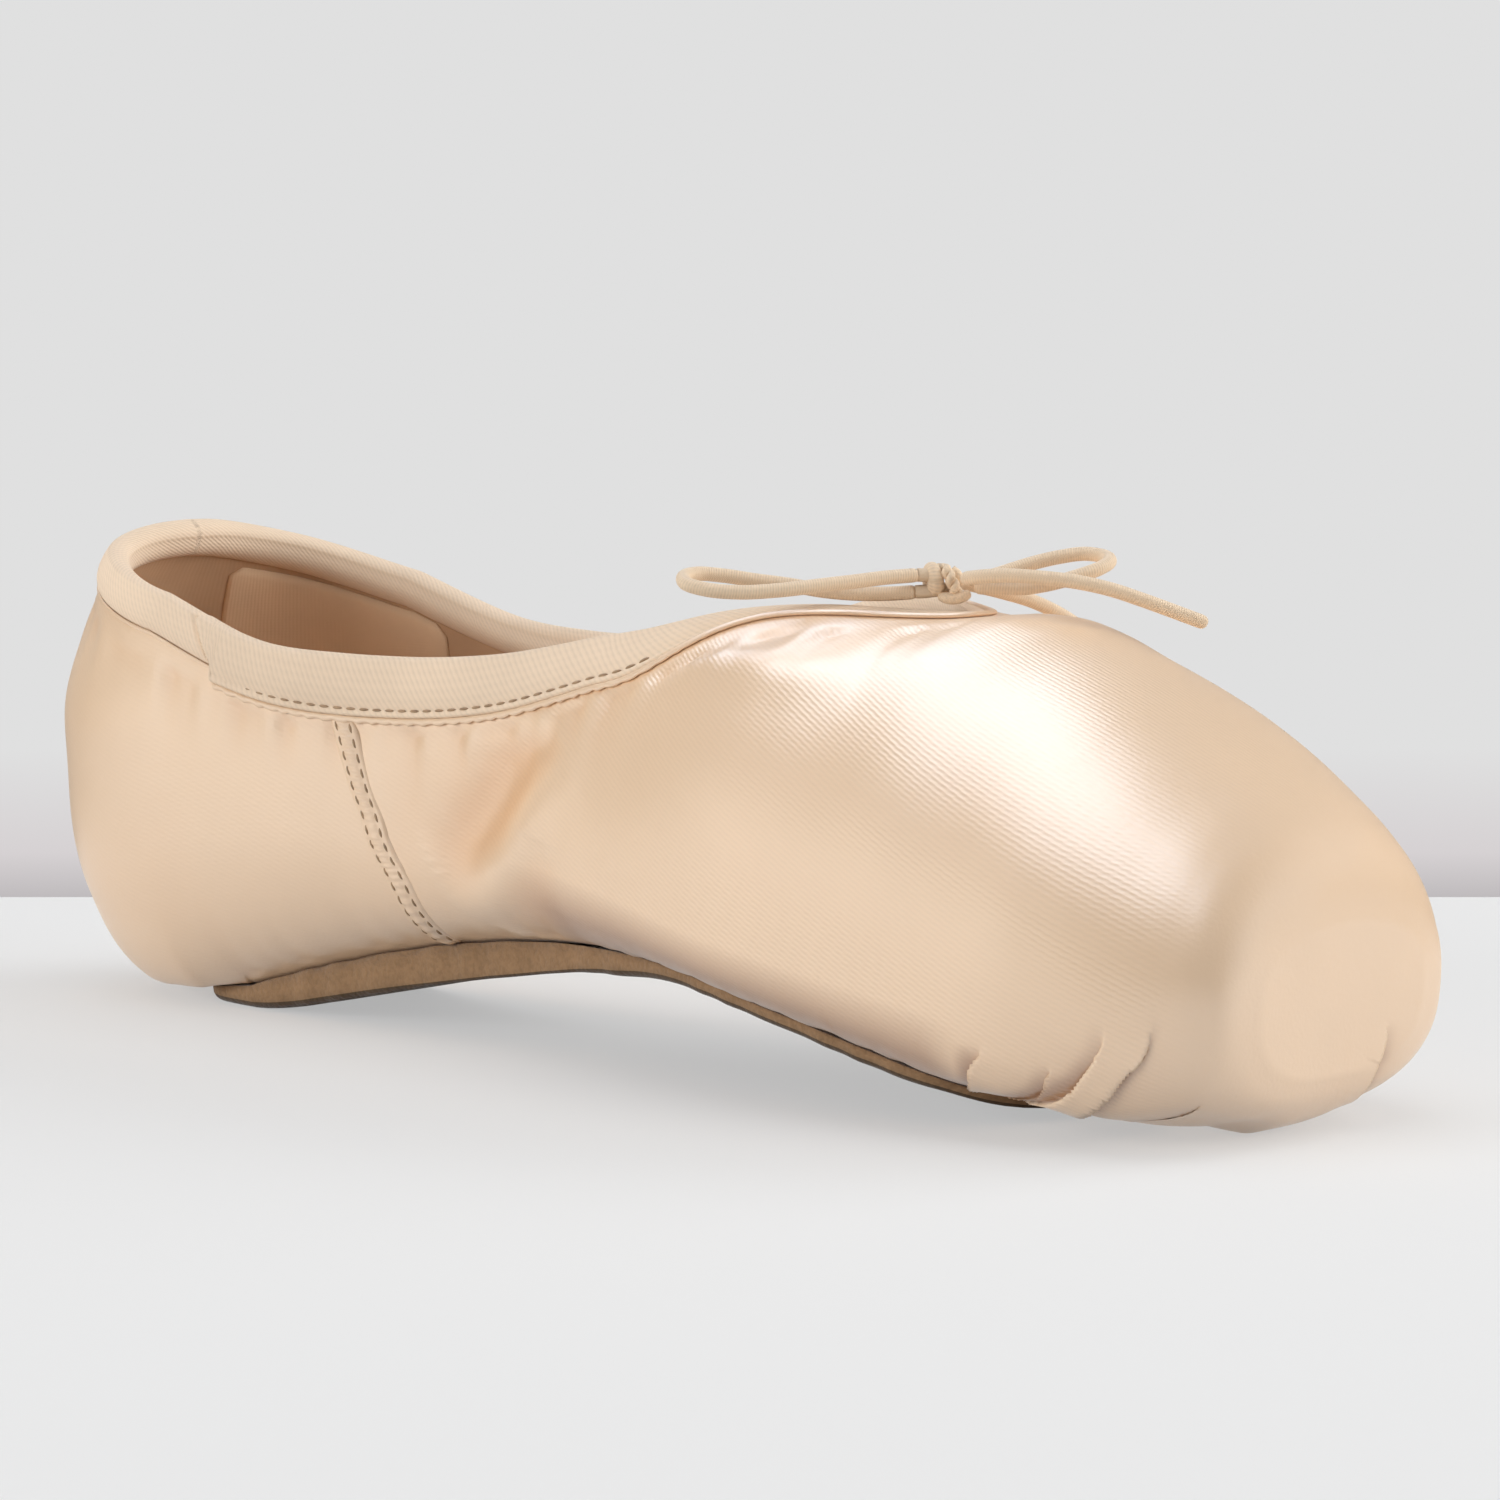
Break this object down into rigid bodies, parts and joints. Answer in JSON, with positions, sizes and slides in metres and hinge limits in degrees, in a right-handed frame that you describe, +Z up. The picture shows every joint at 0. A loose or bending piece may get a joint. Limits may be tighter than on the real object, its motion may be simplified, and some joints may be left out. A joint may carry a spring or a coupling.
{
  "type": "pointe shoe",
  "caption": "Satin pointe shoe with a flat round platform, low bound collar, drawstring bow at the throat and a suede outsole, standing empty on its sole.",
  "frame": {"origin": "middle of the bottom of the box round the shoe without its bow, on the floor", "axes": "+X towards the toe, +Z up, the shoe's long middle plane is y = 0"},
  "size_m": [0.2467, 0.0804, 0.0782],
  "materials": {
    "satin": "peach satin with a fine diagonal twill and a soft gloss",
    "binding_twill": "matte cotton twill tape",
    "suede": "brown suede with a fine nap",
    "lining": "tan canvas lining",
    "elastic_cord": "ribbed elastic cord"
  },
  "bodies": {
    "root": {"upper": "satin", "outsole": "suede", "insole": "lining", "collar_binding": "binding_twill", "collar_piping": "satin", "side_seam_near": "satin", "side_seam_far": "satin", "bow_knot": "elastic_cord", "bow_loop_near": "elastic_cord", "bow_loop_far": "elastic_cord", "bow_tail_front": "elastic_cord", "bow_tail_far": "elastic_cord"}
  },
  "joints": []
}
